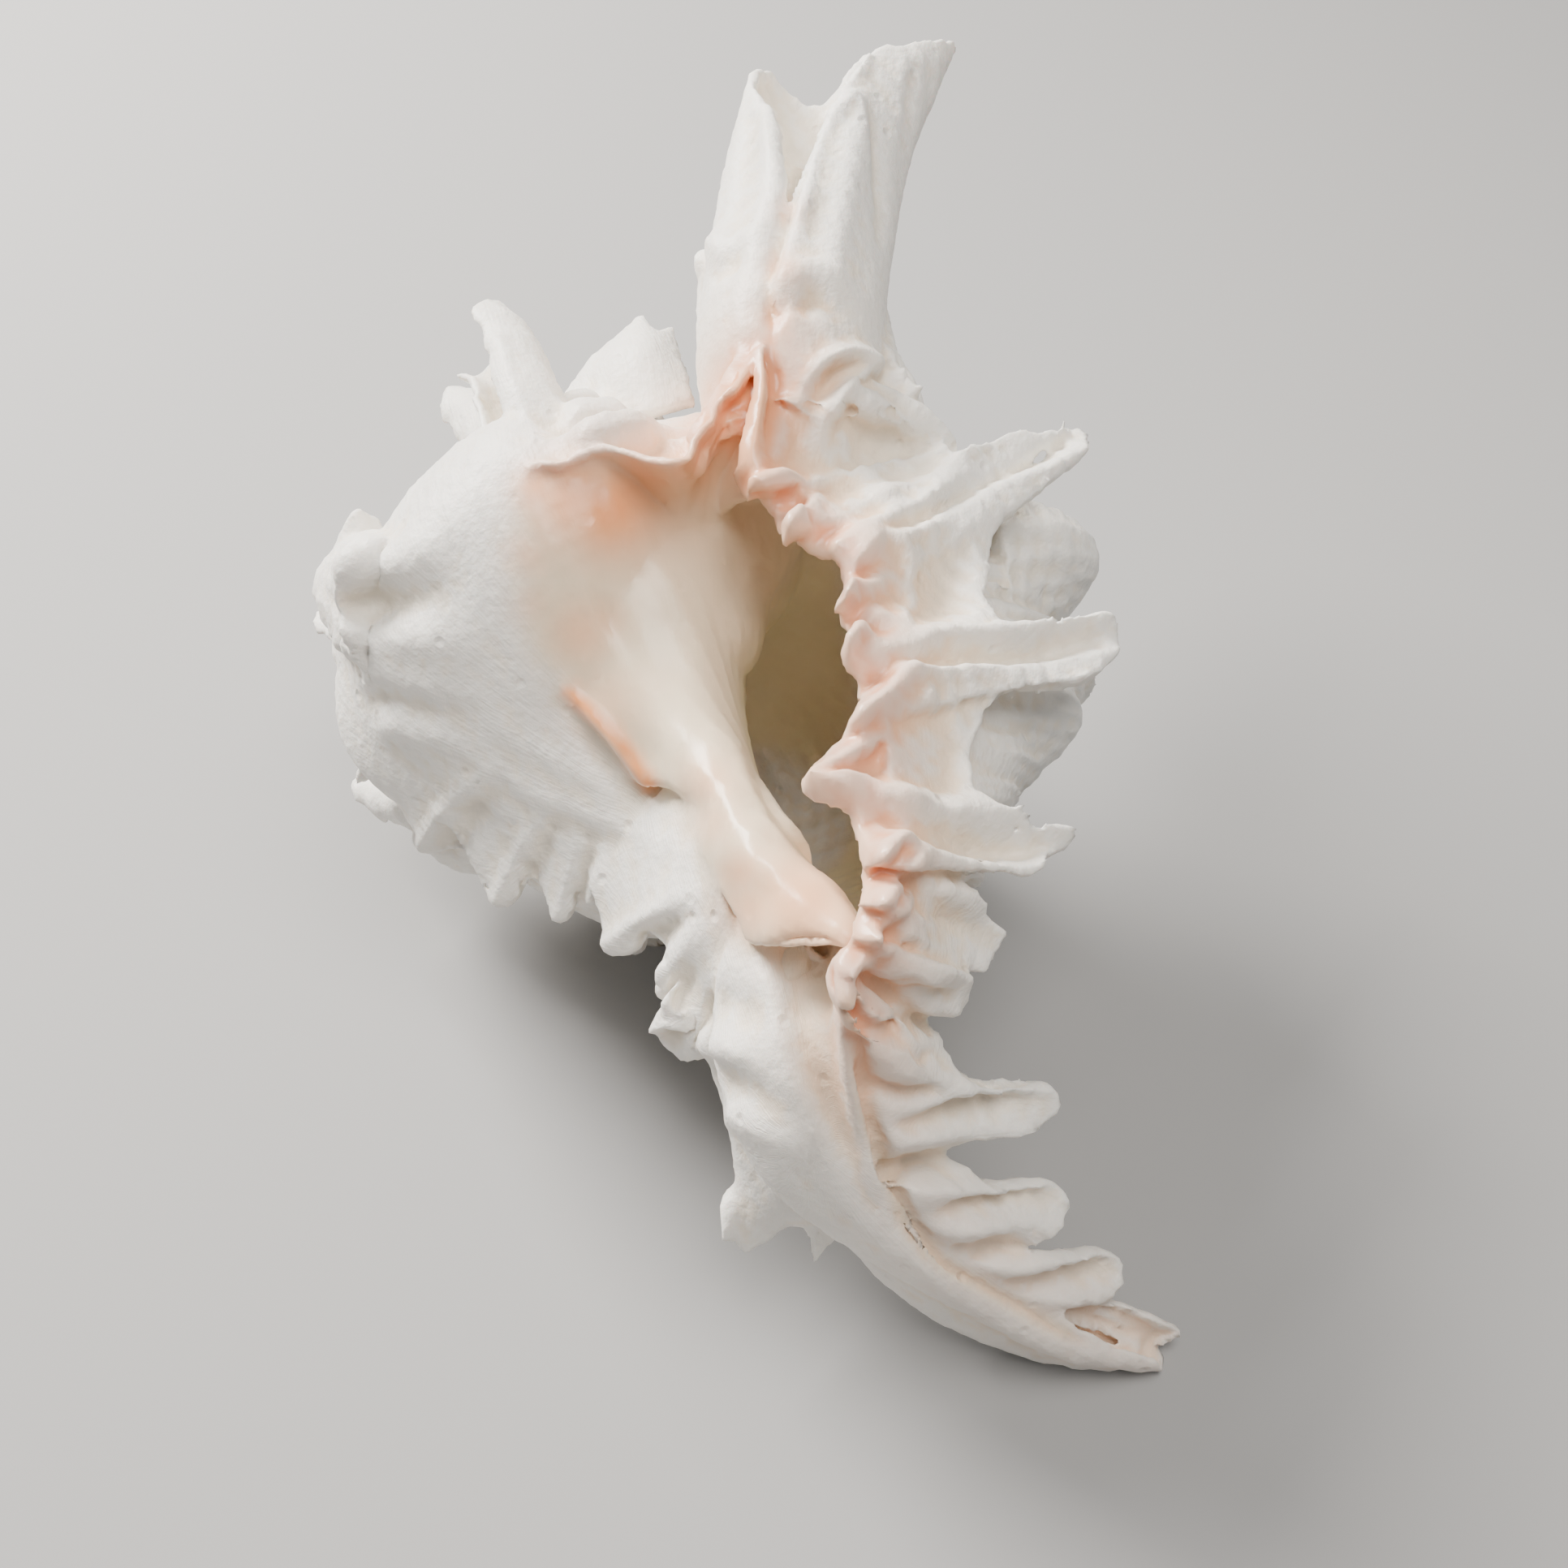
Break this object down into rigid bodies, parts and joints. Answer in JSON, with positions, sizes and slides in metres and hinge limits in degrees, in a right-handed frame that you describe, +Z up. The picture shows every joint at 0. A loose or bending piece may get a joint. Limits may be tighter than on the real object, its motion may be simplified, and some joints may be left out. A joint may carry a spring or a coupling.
{
  "type": "murex shell",
  "caption": "Ramose murex seashell lying mouth up, with hollow recurved fronds along a toothed outer lip, a low spire and a bent open siphonal canal.",
  "frame": {"origin": "middle of the footprint, on the surface the shell rests on", "axes": "+Z up through the mouth; +Y roughly from the siphonal canal towards the spire; the canal tip is at -Y and +X, the outer lip at +X"},
  "size_m": [0.1456, 0.2049, 0.1157],
  "materials": {
    "shell": "chalky white to cream outside, satin pink and orange glaze at the lip, callus and mouth"
  },
  "bodies": {
    "root": {"shell": "shell"}
  },
  "joints": []
}
